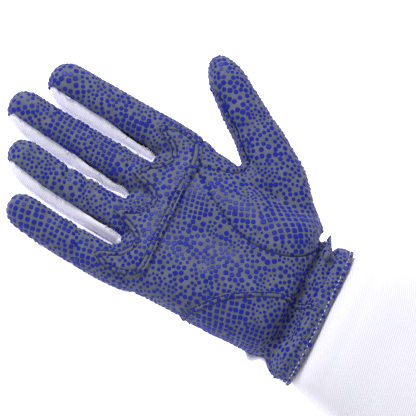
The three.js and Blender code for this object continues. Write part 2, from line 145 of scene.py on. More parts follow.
# The middle and the half sizes of the web beside the thumb, as shares of the hand's sizes.
THUMB_WEB = (0.53, 0.545, 0.52, 0.14, 0.105, 0.3)

FINGER_NAMES = list(FINGERS)
WEB_NAMES = list(WEBS)


def flowing(rows, column, along):
    """Reads a column of a table of sections as one smooth curve."""
    table = np.array(rows, float)
    x, y = table[:, 0], table[:, column]
    slope = np.gradient(y, x)
    i = np.clip(np.searchsorted(x, along) - 1, 0, len(x) - 2)
    step = x[i + 1] - x[i]
    t = np.clip((along - x[i]) / step, 0, 1)
    return (
        (1 + 2 * t) * (1 - t) ** 2 * y[i]
        + t * (1 - t) ** 2 * step * slope[i]
        + t * t * (3 - 2 * t) * y[i + 1]
        + t * t * (t - 1) * step * slope[i + 1]
    )


def step(value, low, high):
    """Goes smoothly from 0 at low to 1 at high."""
    share = np.clip((value - low) / (high - low), 0, 1)
    return share * share * (3 - 2 * share)


def hill(value, middle, width):
    """1 at a middle, falling off smoothly on both sides."""
    return np.exp(-(((value - middle) / width) ** 2))


def rounded(turn, power):
    """A section's outline, across and up, at a turn from 0 to 1: round at power 2, squarer above."""
    across, up = np.cos(turn * 2 * np.pi), np.sin(turn * 2 * np.pi)
    return (
        np.sign(across) * np.abs(across) ** (2 / power),
        np.sign(up) * np.abs(up) ** (2 / power),
    )


def palm_relief(x, y):
    height = np.zeros_like(x)
    for across, along, width, length, high in MOUNDS:
        u = (x - across * HAND_WIDTH) / (width * HAND_WIDTH)
        v = (y - along * PALM_LENGTH) / (length * PALM_LENGTH)
        height += high * HAND_THICKNESS * np.exp(-u * u - v * v)
    return height


def hand_skin(turn, share):
    """The hand from inside the cuff to the finger roots."""
    first, last = HAND_SECTIONS[0][0], HAND_SECTIONS[-1][0]
    along = first + np.clip((share - END_SHUT) / (1 - 2 * END_SHUT), 0, 1) * (last - first)
    shut = np.clip(np.minimum(share, 1 - share) / END_SHUT, 0, 1)
    ulnar, radial, top = (flowing(HAND_SECTIONS, column, along) for column in (1, 2, 3))
    top = top * HAND_THICKNESS
    middle = top * 0.45
    across, up = rounded(turn, HAND_SQUARENESS)
    side = shut * across * (radial - ulnar) / 2 * HAND_WIDTH
    x = (ulnar + radial) / 2 * HAND_WIDTH + side
    y = along * PALM_LENGTH + side * np.interp(along, [0, 0.16, 0.4], [HEM_SLANT, 0.05, 0.03])
    rise = np.where(up > 0, top - middle + palm_relief(x, y), middle + REST_DEPTH)
    return np.stack([x, y, middle + shut * up * rise], 1)


def finger_middle(name, y):
    """A finger's middle line: x and z, with its half width and half thickness, at a distance from the hem."""
    across, length, width, thickness, bow, turn = FINGERS[name]
    along = (y - FINGER_ROOT * PALM_LENGTH) / (length * FINGER_LENGTH)
    inside = np.clip(along, 0, 1)
    x = across * HAND_WIDTH + width * FINGER_WIDTH * (bow * np.sin(np.pi * inside) + turn * inside**2)
    wide, thick, lift = (flowing(FINGER_SECTIONS, column, inside) for column in (1, 2, 3))
    z = (thick / 2 + lift) * thickness * FINGER_THICKNESS - REST_DEPTH
    return x, z, wide * width * FINGER_WIDTH / 2, thick * thickness * FINGER_THICKNESS / 2, along


def finger_skin(name):
    length = FINGERS[name][1] * FINGER_LENGTH

    def skin(turn, share):
        shut = np.clip(share / END_SHUT, 0, 1)
        y = FINGER_ROOT * PALM_LENGTH + share * length
        x, z, wide, thick, along = finger_middle(name, y)
        tip = (1 - np.clip((length * (1 - along)) / FINGER_TIP, 0, 1)) ** FINGER_TIP_ROUNDNESS
        close = (1 - tip) ** (1 / FINGER_TIP_ROUNDNESS) * shut
        across, up = rounded(turn, FINGER_SQUARENESS)
        return np.stack([x + across * wide * close, y, z + up * thick * close], 1)

    return skin


THUMB_AXIS = np.array([
    math.sin(THUMB_LEAN) * math.cos(THUMB_RISE),
    math.cos(THUMB_LEAN) * math.cos(THUMB_RISE),
    math.sin(THUMB_RISE),
])
THUMB_SIDE = np.array([math.cos(THUMB_LEAN), -math.sin(THUMB_LEAN), 0])


def thumb_skin(turn, share):
    start = THUMB_SECTIONS[0][0]
    along = start + share * (1 - start)
    wide, thick, side = (flowing(THUMB_SECTIONS, column, along) for column in (1, 2, 3))
    shut = np.clip(share / END_SHUT, 0, 1)
    tip = (1 - np.clip((THUMB_LENGTH * (1 - along)) / THUMB_TIP, 0, 1)) ** 2
    close = (1 - tip) ** 0.5 * shut
    across, up = rounded(turn, FINGER_SQUARENESS)
    middle = np.array(THUMB_ROOT) + along[:, None] * THUMB_LENGTH * THUMB_AXIS
    sideways = (side + across * wide * close / 2) * THUMB_WIDTH
    upward = up * thick * close / 2 * THUMB_THICKNESS
    return middle + sideways[:, None] * THUMB_SIDE + upward[:, None] * np.array([0, 0, 1.0])


def sew_tube(bm, around, rows, skin):
    """A closed tube: a grid rolled up, with its long edges and each end drawn together."""
    grid = bmesh.ops.create_grid(bm, x_segments=around, y_segments=rows, size=0.5)["verts"]
    spots = np.array([vert.co[:2] for vert in grid]) + 0.5
    for vert, spot in zip(grid, skin(spots[:, 0], spots[:, 1])):
        vert.co = spot
    bmesh.ops.remove_doubles(bm, verts=grid, dist=1e-6)


def sew_web(bm, middle, halves):
    """The rounded bridge of cloth behind a web."""
    matrix = Matrix.Translation(middle) @ Matrix.Diagonal((*halves, 1))
    bmesh.ops.create_uvsphere(bm, u_segments=32, v_segments=20, radius=1, matrix=matrix)


def finger_web(i):
    xs = [FINGERS[name][0] * HAND_WIDTH for name in FINGER_NAMES[i:i + 2]]
    half = FINGER_THICKNESS / 2
    middle = (sum(xs) / 2, WEBS[WEB_NAMES[i]] * PALM_LENGTH - WEB_DEPTH, half - REST_DEPTH)
    return middle, ((xs[0] - xs[1]) / 2, WEB_DEPTH, half)


form = bmesh.new()
sew_tube(form, 120, 110, hand_skin)
for finger_name in FINGER_NAMES:
    sew_tube(form, 64, 100, finger_skin(finger_name))
for i in range(3):
    sew_web(form, *finger_web(i))
sizes = (HAND_WIDTH, PALM_LENGTH, HAND_THICKNESS)
sew_web(form, *([a * b for a, b in zip(shares, sizes)] for shares in (THUMB_WEB[:3], THUMB_WEB[3:])))
sew_tube(form, 72, 100, thumb_skin)
bmesh.ops.recalc_face_normals(form, faces=form.faces)


def finished(thing):
    """The mesh of an object with its modifiers applied."""
    graph = bpy.context.evaluated_depsgraph_get()
    mesh = bpy.data.meshes.new_from_object(thing.evaluated_get(graph), depsgraph=graph)
    bpy.data.objects.remove(thing)
    return mesh


def place(name, data):
    """Puts an object in the scene."""
    thing = bpy.data.objects.new(name, data)
    bpy.context.scene.collection.objects.link(thing)
    return thing


def new_object(name, bm):
    mesh = bpy.data.meshes.new(name)
    bm.to_mesh(mesh)
    bm.free()
    return place(name, mesh)


form = new_object("form", form)
blended = form.modifiers.new("blend", "REMESH")
blended.mode = "VOXEL"
blended.voxel_size = SKIN_GRAIN
form_mesh = finished(form)



def smooth(bm, verts, times):
    for _ in range(times):
        bmesh.ops.smooth_vert(bm, verts=verts, factor=0.5, use_axis_x=True, use_axis_y=True, use_axis_z=True)


def spots_of(bm):
    return np.array([vert.co[:] for vert in bm.verts])


def normals_of(bm):
    bm.normal_update()
    return np.array([vert.normal[:] for vert in bm.verts])


def move_to(bm, places):
    for vert, spot in zip(bm.verts, places):
        vert.co = spot


skin = bmesh.new()
skin.from_mesh(form_mesh)
smooth(skin, skin.verts, 6)

# The folds that a worn glove shows: the wrist drawn in by its elastic, with a pinch beside the thumb, and creases
# across the fingers and the palm. Each row is one straight stretch of a fold.
FOLDS = [
    # from x, from y, to x, to y, width, depth (millimetres, from the middle of the hem; below zero is a valley)
    (42, 20.9, 33, 19.3, 1.7, -2.4), (36, 19.8, 28, 17.6, 2.0, -2.2),
    (30, 17.2, 17, 18, 2.0, -2.4), (17, 18, 4, 15.8, 2.3, -2.6),
    (4, 15.8, -11, 14.8, 3.4, -3.2), (-11, 14.8, -24, 14.6, 4.8, -4.8),
    (-24, 14.6, -44, 17, 5.2, -4.8), (60, 21.4, 51, 20.6, 1.3, 4.6),
    (53, 19.4, 44, 17.2, 2.0, 3.8), (44, 17.2, 28, 14.4, 1.8, 3.0),
    (28, 14.4, 12, 12.6, 2.2, 2.2), (58, 14.4, 44, 12.8, 1.5, -3.2),
    (44, 12.8, 30, 11.2, 1.5, -3.4), (30, 10.8, 15, 9.8, 1.2, -2.8), (12, 8, -6, 9, 2.2, 0.8),
    (7, 169, -5, 167, 1.5, -1.0), (-5, 167, -15, 163, 1.6, -1.1), (2, 156, -13, 151, 1.5, -1.2),
    (-2, 150, -16, 145, 1.4, -0.8), (26, 165, 14, 160, 1.3, -0.8),
    (28, 141, 8, 136.5, 2.0, -1.1), (-26, 145, -46, 137.5, 1.8, -0.8),
    (56, 141, 34, 137, 2.4, -0.7), (66, 100, 88, 82, 4.0, -0.6), (30, 96, 44, 70, 3.5, -0.5),
    (-34, 76, 0, 60, 5.0, 0.5), (-44, 78, -30, 72, 3.0, -0.6), (-45, 60, -38, 40, 3.5, 0.5),
]

# At the wrist the back's white cloth is pushed out past the leather on the little finger's side.
PUFF_MIDDLE = 22 * MM
PUFF_REACH = 5 * MM
PUFF_TOP = 12 * MM
PUFF_INSIDE = 30 * MM
PUFF_PUSH = 9 * MM
SLACKNESS = [
    # swells in a metre, height in millimetres
    (55, 0.45),
    (170, 0.16),
]

places, outward = spots_of(skin), normals_of(skin)
for x0, y0, x1, y1, width, depth in np.array(FOLDS) * MM:
    start, run = np.array([x0, y0]), np.array([x1 - x0, y1 - y0])
    length = np.linalg.norm(run)
    rel = places[:, :2] - start
    t = rel @ run / length**2
    off = np.abs(rel @ np.array([-run[1], run[0]])) / length
    past = np.maximum(np.maximum(-t, t - 1) * length, 0)
    facing = np.clip(outward[:, 2] * 2 + 0.5, 0, 1)
    places += outward * (depth * facing * np.exp(-(off / width) ** 2 - (past / (1.5 * width)) ** 2))[:, None]
puff = hill(places[:, 1], PUFF_MIDDLE, PUFF_REACH) * np.clip((PUFF_TOP - places[:, 2]) / (4 * MM), 0, 1)
places[:, 0] -= PUFF_PUSH * puff * np.clip((-PUFF_INSIDE - places[:, 0]) / (6 * MM), 0, 1)
slack = [np.array([noise.noise(Vector(p) * often) for p in places]) * high * MM for often, high in SLACKNESS]
places += outward * sum(slack)[:, None]
places[:, 2] = np.maximum(places[:, 2], 0)
move_to(skin, places)

# Seams: each is where a value that is worked out over the skin changes sign, in metres from the seam.
SIDE_SEAM = [
    # along, height
    (-0.3, 0.46), (0.0, 0.42), (0.08, 0.36), (0.17, 0.3), (0.35, 0.26), (0.7, 0.23),
    (1.0, 0.2), (2.2, 0.2),
]
THENAR_SEAM = [
    # across, along
    (0.355, 0.85), (0.335, 0.775), (0.24, 0.685), (0.14, 0.54), (0.105, 0.43),
    (0.11, 0.335), (0.15, 0.245), (0.23, 0.18), (0.36, 0.142),
]
GUSSET_SEAM = [
    # across, along: on the hand, from under the knuckle patch to the web beside the thumb
    (0.385, 0.85), (0.398, 0.795), (0.434, 0.71), (0.471, 0.652), (0.52, 0.633),
    (0.565, 0.624), (0.59, 0.65), (0.635, 0.73), (0.66, 0.8),
]
GUSSET_RISES = [
    # along the thumb, height over its middle line as a share of THUMB_THICKNESS
    (0.3, 0.22), (0.5, 0.2), (0.7, 0.22), (0.78, 0.2), (0.83, 0.08), (0.86, -0.2),
    (0.9, -0.6),
]
THUMB_BACK_SEAM = [
    # across, along
    (0.31, 0.35), (0.36, 0.52), (0.5, 0.63), (0.56, 0.655),
]
THUMB_SPACE = [
    # across, along
    (0.66, 0.85), (0.79, 0.96),
]
THUMB_SEAM_TILT = math.radians(24)
HEM_REACH = 1.3 * MM
FORK_RISES = [
    # from a web to the fingertip, height of a fourchette's edge as a share of the finger's half thickness
    (0.0, 0.2), (0.2, 0.34), (0.4, 0.48), (0.6, 0.54), (0.8, 0.58), (0.88, 0.57),
    (0.935, 0.42), (0.965, -0.05), (1.2, -0.2),
]


def plan(rows):
    return [(across * HAND_WIDTH, along * PALM_LENGTH) for across, along in rows]


def smooth_line(points, steps=4):
    """A line through the points without corners."""
    points = np.array(points, float)
    at = np.arange(len(points))
    fine = np.linspace(0, len(points) - 1, (len(points) - 1) * steps + 1)
    rows = np.column_stack([at, points])
    return np.column_stack([flowing(rows, column, fine) for column in range(1, points.shape[1] + 1)])


def distance_to(line, spots):
    """How far each spot is from a line, seen from above."""
    nearest = np.full(len(spots), np.inf)
    for a, b in zip(line[:-1], line[1:]):
        run = b - a
        t = np.clip(((spots[:, :2] - a) @ run) / max(run @ run, 1e-12), 0, 1)
        nearest = np.minimum(nearest, np.linalg.norm(spots[:, :2] - a - t[:, None] * run, axis=1))
    return nearest


def inside_outline(spots, outline):
    """How far inside a closed outline, seen from above, each spot lies: below zero is outside."""
    corners = np.array([*outline, outline[0]], float)
    nearest = distance_to(corners, spots)
    within = np.zeros(len(spots), bool)
    for a, b in zip(corners[:-1], corners[1:]):
        crosses = (a[1] > spots[:, 1]) != (b[1] > spots[:, 1])
        with np.errstate(divide="ignore", invalid="ignore"):
            at = a[0] + (spots[:, 1] - a[1]) * (b[0] - a[0]) / (b[1] - a[1])
        within ^= crosses & (spots[:, 0] < at)
    return np.where(within, nearest, -nearest)


# Well past the glove on every side, for outlines that go round all that lies beyond a seam.
FAR = 0.4
thenar_line = smooth_line(plan(THENAR_SEAM))
gusset_line = smooth_line(plan(GUSSET_SEAM))
back_line = smooth_line(plan(THENAR_SEAM[-1:] + THUMB_BACK_SEAM))
between_thumb = plan(THUMB_SPACE)
thumb_corners = [(FAR, thenar_line[-1][1]), (FAR, FAR), (between_thumb[1][0], FAR), between_thumb[1]]
thumb_outline = [*thenar_line, *thumb_corners, between_thumb[0]]
gusset_outline = [*gusset_line, between_thumb[0]]
thumb_back_outline = [*thumb_corners, *between_thumb[:1], *back_line[::-1]]


def hem_value(spots):
    return spots[:, 1] - HEM_SLANT * spots[:, 0] + HEM_REACH


def side_value(spots):
    return spots[:, 2] - flowing(SIDE_SEAM, 1, spots[:, 1] / PALM_LENGTH) * HAND_THICKNESS


def thumb_side_value(spots):
    """Height above the seam along the thumb, which tilts up to the outer side."""
    tilted = THUMB_SIDE * math.cos(THUMB_SEAM_TILT) + np.array([0, 0, math.sin(THUMB_SEAM_TILT)])
    up = np.cross(tilted, THUMB_AXIS)
    floor = spots[:, 2] - 0.2 * HAND_THICKNESS
    return np.minimum((spots - np.array(THUMB_ROOT)) @ up, floor)


def gusset_value(spots):
    """How far inside the gusset a spot lies: in plan on the hand, and on the thumb's inner side below its seam."""
    away = spots - np.array(THUMB_ROOT)
    along = away @ THUMB_AXIS
    height = away[:, 2] - along * math.sin(THUMB_RISE)
    rise = flowing(GUSSET_RISES, 1, along / THUMB_LENGTH) * THUMB_THICKNESS
    inner_side = np.minimum(-(away @ THUMB_SIDE) - 0.2 * THUMB_WIDTH, along - 0.4 * THUMB_LENGTH)
    return np.maximum(np.minimum(rise - height, inner_side), inside_outline(spots, gusset_outline))


# Beside the little finger's web the leather of the ring finger is cut back further.
FORK_EXTRAS = (0.0, 0.08, 0.34)


def fork_rise(i, name, y):
    """Height of a fourchette's edge over a finger's middle line, as a share of the finger's half thickness."""
    middle, halves = finger_web(i)
    start = middle[1] + halves[1] * 0.5
    tip = FINGER_ROOT * PALM_LENGTH + FINGERS[name][1] * FINGER_LENGTH
    closing = np.clip((y - start + 10 * MM) / (10 * MM), 0, 1) ** 0.5
    share = (y - start) / (tip - start)
    extra = FORK_EXTRAS[i] * (name == FINGER_NAMES[i]) * step(share, 0.5, 0.15)
    return (flowing(FORK_RISES, 1, share) + extra) * closing


def fork_value(i):
    """How far inside the cloth between two fingers a spot lies, along the height of the finger's side."""
    middle = finger_web(i)[0]

    def value(spots):
        best = np.full(len(spots), -1.0)
        for name in FINGER_NAMES[i:i + 2]:
            x, z, wide, thick, along = finger_middle(name, spots[:, 1])
            toward = np.sign(middle[0] - FINGERS[name][0] * HAND_WIDTH)
            between = (toward * (spots[:, 0] - x) > 0.1 * wide) & (toward * (middle[0] - spots[:, 0]) > -1.5 * MM)
            rise = fork_rise(i, name, spots[:, 1]) * thick - 0.4 * MM
            best = np.where(between, np.maximum(best, rise - np.abs(spots[:, 2] - z)), best)
        return best

    return value


def cut_along(bm, value):
    """Splits the faces that a seam crosses exactly along it."""
    places = spots_of(bm)
    values = value(places)
    for index, vert in enumerate(bm.verts):
        vert.index = index
    crossed = [
        face for face in bm.faces
        if min(values[v.index] for v in face.verts) < 0 < max(values[v.index] for v in face.verts)
        and max(abs(values[v.index]) for v in face.verts) < 4 * MM
    ]
    kept = bm.verts.layers.float_vector.get("place") or bm.verts.layers.float_vector.new("place")
    touched = {vert for face in crossed for vert in face.verts}
    for vert in touched:
        vert[kept] = vert.co
        vert.co = (vert.co.x, vert.co.y, values[vert.index])
    around = crossed + list(touched) + list({edge for face in crossed for edge in face.edges})
    made = bmesh.ops.bisect_plane(bm, geom=around, dist=1e-8, plane_co=(0, 0, 0), plane_no=(0, 0, 1))
    fresh = {item for item in made["geom_cut"] if isinstance(item, bmesh.types.BMVert)}
    for vert in touched | fresh:
        vert.co = vert[kept]


def owners(spots):
    """The name of the panel that each spot of the skin belongs to."""
    found = np.full(len(spots), "back", dtype=object)
    in_thumb, above_thumb = inside_outline(spots, thumb_outline) > 0, thumb_side_value(spots) > 0
    found[(side_value(spots) > 0) & ~in_thumb] = "palm"
    found[inside_outline(spots, thumb_back_outline) > 0] = "thumb_back"
    found[in_thumb & above_thumb] = "thumb_front"
    found[in_thumb & above_thumb & (gusset_value(spots) > 0)] = "thumb_gusset"
    for i, web_name in enumerate(WEB_NAMES):
        found[fork_value(i)(spots) > 0] = "fourchette_" + web_name
    found[hem_value(spots) < 0] = "cut off"
    return found


def refine(bm, verts, rings):
    """Halves the faces within some rings of these vertices."""
    chosen = set(verts)
    for _ in range(rings):
        chosen |= {edge.other_vert(vert) for vert in chosen for edge in vert.link_edges}
    edges = [edge for edge in bm.edges if edge.verts[0] in chosen and edge.verts[1] in chosen]
    bmesh.ops.subdivide_edges(bm, edges=edges, cuts=1, use_grid_fill=True)


places = spots_of(skin)
owner = dict(zip(skin.verts, owners(places)))
refine(skin, [v for edge in skin.edges if len({owner[v] for v in edge.verts}) > 1 for v in edge.verts], 2)

for seam in [
    hem_value,
    side_value,
    thumb_side_value,
    *(fork_value(i) for i in range(3)),
    lambda spots: inside_outline(spots, thumb_outline),
    gusset_value,
    lambda spots: inside_outline(spots, thumb_back_outline),
]:
    cut_along(skin, seam)

panel_of = owners(np.array([face.calc_center_median()[:] for face in skin.faces]))

LEATHER_WALL = 1.6 * MM
SEAM_SINK = 1.0 * MM
GUSSET_SINK = 1.9 * MM
SEAM_ROLL = 0.85 * MM
HEM_FOLD = 2.0 * MM
HEM_ROLL = 0.5 * MM
HEM_GROOVE = 0.4 * MM


def search_tree(spots):
    tree = KDTree(len(spots))
    for index, spot in enumerate(spots):
        tree.insert(spot, index)
    tree.balance()
    return tree


def open_edge(bm, shares, above_hem=-FAR):
    """A search tree of places along a panel's open edges, as far as these lie above the hem."""
    return search_tree([
        edge.verts[0].co.lerp(edge.verts[1].co, share)
        for edge in bm.edges
        if edge.is_boundary and any(v.co.y - HEM_SLANT * v.co.x + HEM_REACH > above_hem for v in edge.verts)
        for share in shares
    ])


def to_frame(bm):
    bmesh.ops.translate(bm, verts=bm.verts, vec=Vector(HEM))


def panel_skin(name):
    """One panel's part of the skin, its sewn edges rolled inwards and its hem folded over."""
    panel = skin.copy()
    panel.faces.ensure_lookup_table()
    others = [face for face, owner in zip(panel.faces, panel_of) if owner != name]
    bmesh.ops.delete(panel, geom=others, context="FACES")
    bmesh.ops.dissolve_degenerate(panel, dist=1e-5, edges=panel.edges)
    edge = open_edge(panel, (0, 0.25, 0.5, 0.75), 0.3 * MM)
    places, outward = spots_of(panel), normals_of(panel)
    far = np.array([edge.find(spot)[2] for spot in places])
    hem = hem_value(places)
    rolled = HEM_ROLL * step(-hem, -HEM_FOLD, -HEM_FOLD + 0.5 * MM)
    fold = rolled - HEM_GROOVE * hill(hem, HEM_FOLD, 0.5 * MM)
    open_seam = step(np.abs(gusset_value(places)), 2.5 * MM, 0.5 * MM) * (places[:, 1] < 0.92 * PALM_LENGTH)
    sink = SEAM_SINK + (GUSSET_SINK - SEAM_SINK) * open_seam * (places[:, 0] > 0.5 * HAND_WIDTH)
    places += outward * (fold - sink * np.exp(-((far / SEAM_ROLL) ** 2)))[:, None]
    places[:, 0] -= side_spread(places)
    if name.startswith("fourchette"):
        places[:, 0] += fork_swell(WEB_NAMES.index(name[11:]), places)
    places[:, 2] = np.maximum(places[:, 2], 0)
    move_to(panel, places)
    to_frame(panel)
    return panel


SIDE_SPREADS = [
    # how far the cloth on the little finger's side of the first three fingers lies out past the leather
    4.6 * MM,
    3.6 * MM,
    3.8 * MM,
]
FORK_MEETING = [
    # how far past its web the cloth on both sides of a gap touches, how open that crease is and how wavy
    (24 * MM, 0.25 * MM, 0.0),
    (36 * MM, 0.5 * MM, 0.8 * MM),
    (22 * MM, 0.2 * MM, 0.0),
]


def side_spread(spots):
    """How far the lower side of each finger lies out towards the little finger, below the leather's edge."""
    out = np.zeros(len(spots))
    for i, name in enumerate(FINGER_NAMES[:3]):
        x, z, wide, thick, along = finger_middle(name, spots[:, 1])
        outer = (x - spots[:, 0]) / wide
        edge = fork_rise(i, name, spots[:, 1])
        low = step((spots[:, 2] - z) / thick, edge - 0.02, edge - 0.45)
        reach = step(along, 0.3, 0.5) * step(along, 0.985, 0.82)
        on_side = step(outer, 0.3, 0.85) * (outer < 1.3)
        out += SIDE_SPREADS[i] * low * reach * on_side
    return out


def fork_swell(i, spots):
    """How far the cloth between two fingers swells towards the middle of their gap, where its two sides meet."""
    middle, halves = finger_web(i)
    first, second = (finger_middle(name, spots[:, 1]) for name in FINGER_NAMES[i:i + 2])
    reach, opening, wave = FORK_MEETING[i]
    centre = (first[0] - first[2] + second[0] + second[2]) / 2 - 0.6 * MM + wave * np.sin(spots[:, 1] / (2.6 * MM))
    on_first = np.abs(spots[:, 0] - first[0]) < np.abs(spots[:, 0] - second[0])
    side_z, side_thick = (np.where(on_first, first[k], second[k]) for k in (1, 3))
    edge = np.where(on_first, *(fork_rise(i, name, spots[:, 1]) for name in FINGER_NAMES[i:i + 2]))
    web_end = middle[1] + halves[1]
    meeting = step(spots[:, 1], web_end + reach * 1.5, web_end + reach * 0.6)
    height = (spots[:, 2] - side_z) / side_thick
    bulge = np.clip(1 - np.abs(height / np.maximum(edge, 0.1)) ** 2.2, 0, 1)
    gap = centre - spots[:, 0]
    behind = step(spots[:, 1], web_end - 5 * MM, web_end + 1 * MM)
    return np.sign(gap) * np.maximum(np.abs(gap) - opening, 0) * bulge * meeting * behind


def make_wall(thing, wall):
    """Gives a skin its thickness on the inside."""
    inner = thing.modifiers.new("wall", "SOLIDIFY")
    inner.thickness = wall
    inner.offset = -1
    name, mesh = thing.name, finished(thing)
    mesh.shade_smooth()
    return place(name, mesh)


LEATHER_PANELS = {"palm", "thumb_front", "thumb_gusset"}
skin.faces.index_update()
leather_seam = [
    (edge.verts[0].co.copy(), edge.verts[1].co.copy(), (edge.verts[0].normal + edge.verts[1].normal).normalized())
    for edge in skin.edges
    if len({panel_of[face.index] for face in edge.link_faces}) == 2
    and {panel_of[face.index] for face in edge.link_faces} <= LEATHER_PANELS
]

# Palm and thumb leather: thin synthetic suede, cut as the palm with the fronts of the fingers, the front of the thumb
# with its mound, and a narrow gusset from the first finger up the thumb's inside. The suede is sewn edge to edge,
# inside out, so a seam shows as a groove.


def linear(code):
    """An sRGB hex colour as the shader's linear values."""
    values = [int(code[i:i + 2], 16) / 255 for i in (1, 3, 5)]
    return (*[v / 12.92 if v <= 0.04045 else ((v + 0.055) / 1.055) ** 2.4 for v in values], 1.0)


def new_finish(name, code, sockets):
    """A material of one colour, with values for its shader's other sockets."""
    finish = bpy.data.materials.new(name)
    finish.use_nodes = True
    shader = finish.node_tree.nodes["Principled BSDF"]
    for socket, value in {"Base Color": linear(code), "IOR": 1.5, **sockets}.items():
        shader.inputs[socket].default_value = value
    return finish, shader


def add_node(finish, kind, links=None, **settings):
    """Adds a node. Settings are its sockets' values or its own, and links join its sockets to others' outputs."""
    node = finish.node_tree.nodes.new(kind)
    for key, value in settings.items():
        if key in node.inputs:
            node.inputs[key].default_value = value
        else:
            setattr(node, key, value)
    for socket, source in (links or {}).items():
        finish.node_tree.links.new(source, node.inputs[socket])
    return node


def mottle(finish, shader, dark, light, size, coordinates):
    """Cloudy colour between two shades, with patches of about a size in metres."""
    cloud = add_node(finish, "ShaderNodeTexNoise", {"Vector": coordinates}, Scale=1 / size, Detail=3.0)
    ramp = add_node(finish, "ShaderNodeValToRGB", {"Fac": cloud.outputs["Fac"]})
    ramp.color_ramp.elements[0].position, ramp.color_ramp.elements[1].position = 0.35, 0.65
    ramp.color_ramp.elements[0].color, ramp.color_ramp.elements[1].color = linear(dark), linear(light)
    finish.node_tree.links.new(ramp.outputs["Color"], shader.inputs["Base Color"])


def roughen(finish, shader, height, depth):
    """Raises a surface by a height from 0 to 1, worth a depth in metres."""
    bump = add_node(finish, "ShaderNodeBump", {"Height": height}, Distance=depth, Strength=1.0)
    finish.node_tree.links.new(bump.outputs["Normal"], shader.inputs["Normal"])


# A wave texture's scale times the distance between its bands, in metres.
WAVE_SCALE = 0.314


def rib(finish, shader, coordinates, apart, waviness, depth):
    """Raises ribs that lie a distance apart."""
    waves = add_node(
        finish,
        "ShaderNodeTexWave",
        {"Vector": coordinates},
        Scale=WAVE_SCALE / apart,
        Distortion=waviness,
        bands_direction="Y",
    )
    roughen(finish, shader, waves.outputs["Fac"], depth)


# Suede: a short nap, so it is matt, a little cloudy, and turns paler where it is seen along the surface.
suede, suede_shader = new_finish("grey_synthetic_suede", "#5d6473", {
    "Roughness": 0.9,
    "Specular IOR Level": 0.25,
    "Sheen Weight": 0.5,
    "Sheen Roughness": 0.4,
    "Sheen Tint": linear("#b9bdea"),
})
surface = add_node(suede, "ShaderNodeTexCoord").outputs["Object"]
mottle(suede, suede_shader, "#595f6f", "#686e7f", 6 * MM, surface)
nap = add_node(suede, "ShaderNodeTexNoise", {"Vector": surface}, Scale=1 / (0.7 * MM), Detail=4.0)
roughen(suede, suede_shader, nap.outputs["Fac"], 0.08 * MM)

covers = {}
for name in ["palm", "thumb_front", "thumb_gusset"]:
    panel = panel_skin(name)
    covers[name] = panel.copy()
    piece = make_wall(new_object(name + "_leather", panel), LEATHER_WALL)
    piece.data.materials.append(suede)
    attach(piece, "root")
    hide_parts(name)

# Back and fourchettes: the back of the hand and of the thumb, and the strips between the fingers, which are called
# fourchettes, of white knit cloth. They are sewn to the leather all round, and the strips bulge into the gaps.

# Knit cloth: matt and soft, with fine ribs that leave its white a little shaded.
knit, knit_shader = new_finish("white_knit_cloth", "#f1f0ff", {
    "Roughness": 0.9,
    "Specular IOR Level": 0.3,
    "Sheen Weight": 0.2,
})
surface = add_node(knit, "ShaderNodeTexCoord").outputs["Object"]
rib(knit, knit_shader, surface, 1.1 * MM, 0.6, 0.12 * MM)

for name, slot in [
    ("back", "back_knit"),
    ("thumb_back", "back_knit"),
    ("fourchette_index_middle", "fork_cloth"),
    ("fourchette_middle_ring", "fork_cloth"),
    ("fourchette_ring_little", "fork_cloth"),
]:
    panel = panel_skin(name)
    if slot == "fork_cloth":
        covers[name] = panel.copy()
    piece = make_wall(new_object(name + "_cloth", panel), LEATHER_WALL)
    piece.data.materials.append(knit)
    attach(piece, "root")
    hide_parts(name)

# Reinforcements: two patches of the same suede, laid over the palm, one with a scalloped edge across the roots of the
# fingers and one on the heel of the hand. Their edges are turned under, which raises a roll along the straight edge,
# and each is held by two rows of navy stitches.
PATCH_THICKNESS = 1.3 * MM
PATCH_WALL = 1.15 * MM
STITCH_ROWS = (1.0 * MM, 3.5 * MM)
ROW_GROOVE = 0.45 * MM
ROW_SWELL = 0.35 * MM
ROLL_HEIGHT = 1.1 * MM
ROLL_INSET = 1.1 * MM

KNUCKLE_SEAM = [
    # x, y in millimetres from the middle of the hem, along the scallops and then back along the straight edge
    (56, 125), (53, 133), (48.8, 137), (45.3, 132), (42.4, 125), (38, 121.6), (33, 123.4),
    (27.5, 128.5), (20.5, 133.2), (15.2, 135), (13.2, 129), (11.6, 122.2), (8.4, 118.4),
    (3.6, 118.2), (-1.5, 122.4), (-6.2, 129.4), (-10.4, 133.4), (-12.6, 127.5),
    (-15, 120.2), (-18.2, 115.6), (-22.6, 114.2), (-27.2, 116.8), (-31, 122.4),
    (-34.2, 128.4), (-37.6, 130), (-40.6, 125.8), (-42.4, 119.6), (-41.8, 113),
    (-40, 106.6), (-37.4, 102.2), (-32.5, 100.4), (-27, 100.3), (-6.1, 102.5), (18, 104.4),
    (37.7, 105.4), (50.1, 108.9), (54.5, 113),
]
KNUCKLE_LIP = [(x, y - 1.4 * (29 < i < 36)) for i, (x, y) in enumerate(KNUCKLE_SEAM)]
HEEL_SEAM = [
    # across, along
    (-0.5, 0.6), (-0.423, 0.553), (-0.341, 0.495), (-0.238, 0.422), (-0.153, 0.333),
    (-0.09, 0.25), (-0.044, 0.175), (-0.02, 0.1), (-0.018, 0.02),
]

knuckle_outline, knuckle_stitch_line = (
    smooth_line([*rows[28:], *rows[:29]], 5)[:-1] * MM for rows in (KNUCKLE_LIP, KNUCKLE_SEAM)
)
knuckle_roll = smooth_line(KNUCKLE_LIP[30:36]) * MM
heel_line = smooth_line(plan(HEEL_SEAM))
heel_outline = [*heel_line, (-HAND_WIDTH, heel_line[-1][1]), (-HAND_WIDTH, heel_line[0][1])]


